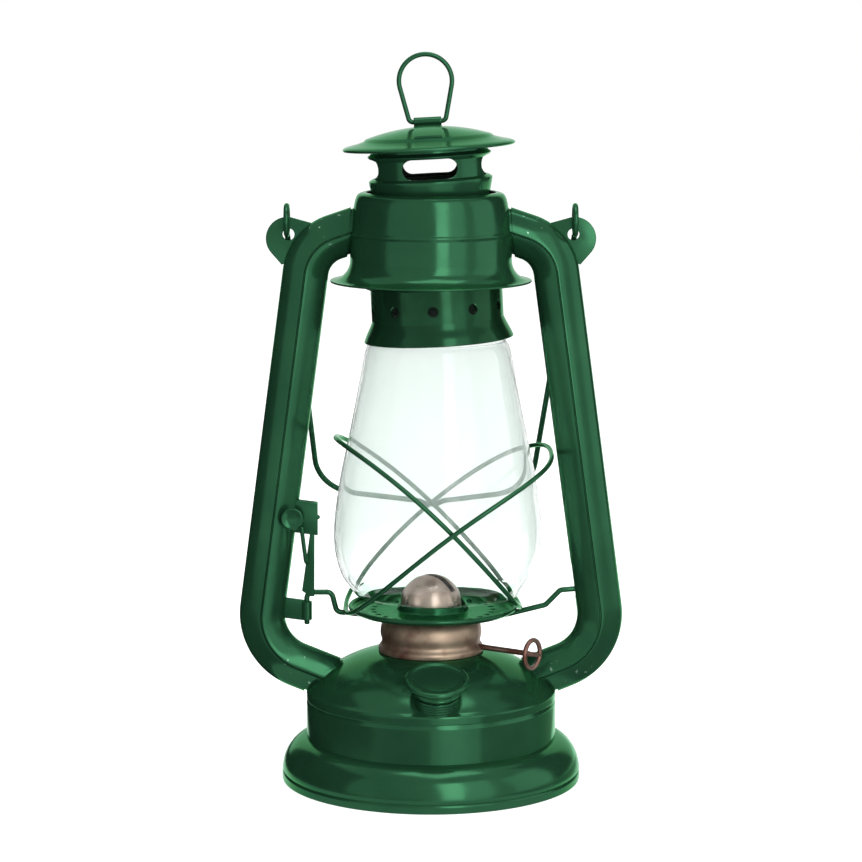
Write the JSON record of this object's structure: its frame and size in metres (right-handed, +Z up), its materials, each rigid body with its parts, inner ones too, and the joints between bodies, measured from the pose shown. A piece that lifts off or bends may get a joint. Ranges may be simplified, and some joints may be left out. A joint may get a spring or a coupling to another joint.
{
  "type": "kerosene lantern",
  "caption": "Enamelled kerosene hurricane lantern with tank, side tubes, lifting glass globe in a wire guard, sprung chimney, wick burner, screw filler and swinging bail.",
  "frame": {"origin": "middle of the foot on the table", "axes": "+Z up, -Y is the front with the filler cap, +X is the side of the wick knob"},
  "size_m": [0.164, 0.128, 0.3105],
  "materials": {
    "green_enamel": "glossy stoved enamel on sheet steel and wire",
    "burner_brass": "tarnished rose brass, pressed sheet",
    "rubber_seal": "moulded gasket",
    "cotton_wick": "flat woven cotton",
    "spring_steel": "drawn spring wire",
    "clear_glass": "clear blown glass"
  },
  "bodies": {
    "frame": {"tank_base": "green_enamel", "tank_dome": "green_enamel", "tank_bottom": "green_enamel", "fuel_deck": "green_enamel", "filler_neck": "green_enamel", "burner_socket": "burner_brass", "burner_throat": "burner_brass", "burner_screen": "burner_brass", "burner_base": "burner_brass", "burner_dome": "burner_brass", "wick_tube": "burner_brass", "left_tube": "green_enamel", "right_tube": "green_enamel", "left_bail_ear": "green_enamel", "right_bail_ear": "green_enamel", "hood": "green_enamel", "chimney_spring": "spring_steel", "upper_lever_bracket": "green_enamel", "lower_lever_bracket": "green_enamel"},
    "globe_carriage": {"glass_globe": "clear_glass", "globe_plate": "green_enamel", "left_guard_wire": "green_enamel", "right_guard_wire": "green_enamel", "left_lift_arm": "green_enamel", "right_lift_arm": "green_enamel", "lift_lever": "green_enamel"},
    "chimney": {"globe_collar": "green_enamel", "chimney_tube": "green_enamel", "chimney_cap": "green_enamel", "ring_strap": "green_enamel"},
    "lift_ring": {"lift_ring": "green_enamel"},
    "bail": {"bail_handle": "green_enamel"},
    "wick_spindle": {"wick_shaft": "burner_brass", "spur_wheels": "burner_brass", "wick_knob": "burner_brass"},
    "wick": {"wick": "cotton_wick"},
    "filler_seal": {"filler_seal": "rubber_seal"},
    "filler_cap": {"filler_cap": "green_enamel"}
  },
  "joints": [
    {"name": "globe_lift", "type": "slide", "parent": "frame", "child": "globe_carriage", "axis": [0, 0, 1], "range_m": [0, 0.008], "deforming": ["chimney_spring"]},
    {"name": "chimney_lift", "type": "slide", "parent": "globe_carriage", "child": "chimney", "axis": [0, 0, 1], "range_m": [0, 0.015], "stiffness_N_per_m": 250, "springref_m": -0.01, "deforming": ["chimney_spring"]},
    {"name": "ring_fold", "type": "hinge", "parent": "chimney", "child": "lift_ring", "pos_m": [-0.00144, 0, 0.28153], "axis": [0.9986, 0, 0.0523], "range_deg": [-88, 88]},
    {"name": "bail_swing", "type": "hinge", "parent": "frame", "child": "bail", "pos_m": [0, 0, 0.2402], "axis": [1, 0, 0], "range_deg": [0, 312]},
    {"name": "wick_turn", "type": "hinge", "parent": "frame", "child": "wick_spindle", "pos_m": [0.00403, 0.00597, 0.058], "axis": [0.829, -0.5592, 0], "range_deg": [-62, 72]},
    {"name": "wick_rise", "type": "slide", "parent": "frame", "child": "wick", "axis": [0, 0, 1], "range_m": [-0.0069, 0.0059]},
    {"name": "cap_rise", "type": "slide", "parent": "frame", "child": "filler_seal", "axis": [0.0174, -0.3317, 0.9432], "range_m": [0, 0.006]},
    {"name": "cap_turn", "type": "hinge", "parent": "filler_seal", "child": "filler_cap", "pos_m": [0.00254, -0.04843, 0.0542], "axis": [0.0174, -0.3317, 0.9432], "range_deg": [0, 1080]}
  ],
  "couplings": [
    {"joint": "wick_turn", "follows": "wick_rise", "rad_per_m": -181.82},
    {"joint": "cap_turn", "follows": "cap_rise", "rad_per_m": 3141.6}
  ]
}
